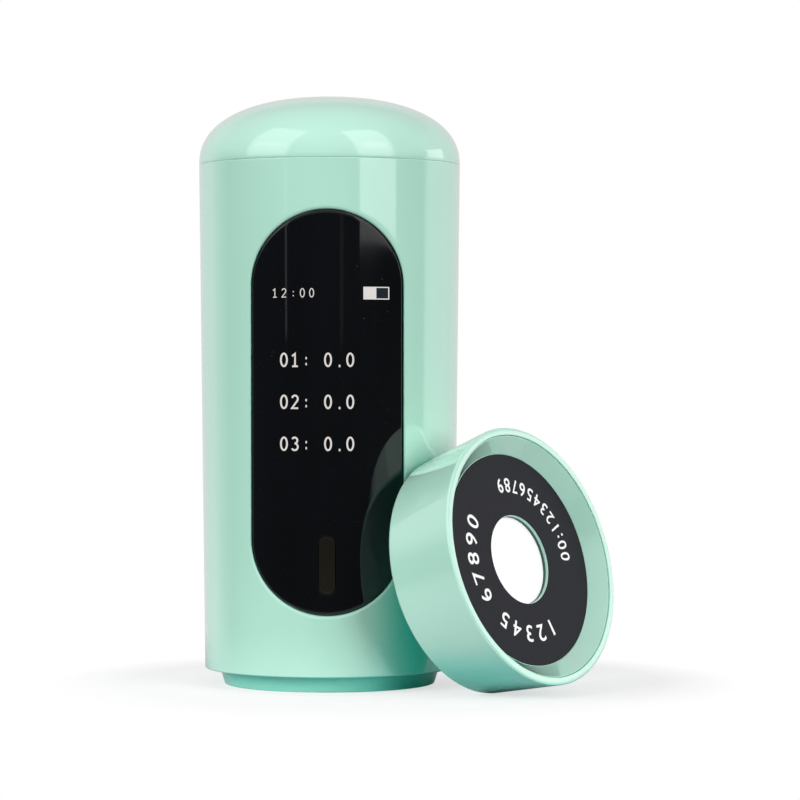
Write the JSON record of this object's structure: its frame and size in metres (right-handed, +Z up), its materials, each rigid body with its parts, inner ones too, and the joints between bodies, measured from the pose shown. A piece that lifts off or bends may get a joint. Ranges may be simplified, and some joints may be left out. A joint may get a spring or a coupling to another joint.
{
  "type": "pocket colour meter",
  "caption": "Tapered cylindrical hand-held colour meter on its measuring nose, with a curved dark window, a press key and its round calibration cap leaning beside it.",
  "frame": {"origin": "centre of the measuring port in the flat underside of the nose, on the bench", "axes": "+Z up along the case axis to the dome, -Y out of the window, +X to the side where the cap leans"},
  "size_m": [0.0521, 0.0465, 0.0741],
  "materials": {
    "mint_plastic": "satin moulded, pale mint",
    "window_black": "polished black window",
    "black_rubber": "plain",
    "key_bronze": "dim brown",
    "black_plastic": "plain",
    "screen_glass": "dark glass face on a thin module",
    "white_plastic": "plain",
    "ribbon_amber": "amber film",
    "board_green": "solder mask",
    "chip_black": "moulded",
    "screw_steel": "turned",
    "grey_plastic": "moulded",
    "cell_wrap": "metal can in a blue sleeve",
    "red_lead": "insulated wire",
    "socket_steel": "drawn shell",
    "optics_black": "matt, against stray light",
    "led_yellow": "phosphor",
    "gold_pin": "plated",
    "clear_glass": "polished",
    "magnet_nickel": "plated",
    "label_black": "printed plate, charcoal",
    "white_ceramic": "even white",
    "pad_foam": "foam"
  },
  "bodies": {
    "case": {"body_shell": "mint_plastic", "top_cover": "mint_plastic", "nose_ring": "mint_plastic", "window_lens": "window_black", "lens_gasket": "black_rubber", "key_switch": "black_plastic", "key_board": "board_green", "display_panel": "screen_glass", "display_frame": "white_plastic", "display_ribbon": "ribbon_amber", "sensor_ribbon": "ribbon_amber", "main_board": "board_green", "sensor_board": "board_green", "led_board": "board_green", "main_board_chips": "chip_black", "colour_sensor": "chip_black", "board_screws": "screw_steel", "chassis_screws": "screw_steel", "optics_screws": "screw_steel", "chassis": "grey_plastic", "battery_cell": "cell_wrap", "battery_leads": "red_lead", "battery_connector": "white_plastic", "usb_socket": "socket_steel", "usb_tongue": "black_plastic", "optics_housing": "optics_black", "leds": "led_yellow", "led_pins": "gold_pin", "light_baffle": "optics_black", "collecting_lens": "clear_glass", "nose_magnets": "magnet_nickel", "aperture_insert": "optics_black", "port_window": "clear_glass"},
    "key": {"measure_key": "key_bronze", "switch_plunger": "black_plastic"},
    "cap": {"cap_shell": "mint_plastic", "cap_insert": "mint_plastic", "cap_label": "label_black", "cap_magnets": "magnet_nickel", "white_tile": "white_ceramic", "tile_pad": "pad_foam"}
  },
  "joints": [
    {"name": "key_press", "type": "slide", "parent": "case", "child": "key", "axis": [0, 1, 0], "range_m": [0, 0.0004], "stiffness_N_per_m": 1500},
    {"name": "cap_pull", "type": "slide", "parent": "case", "child": "cap", "axis": [0.753, -0.599, 0.2723], "range_m": [0, 0.03]}
  ]
}
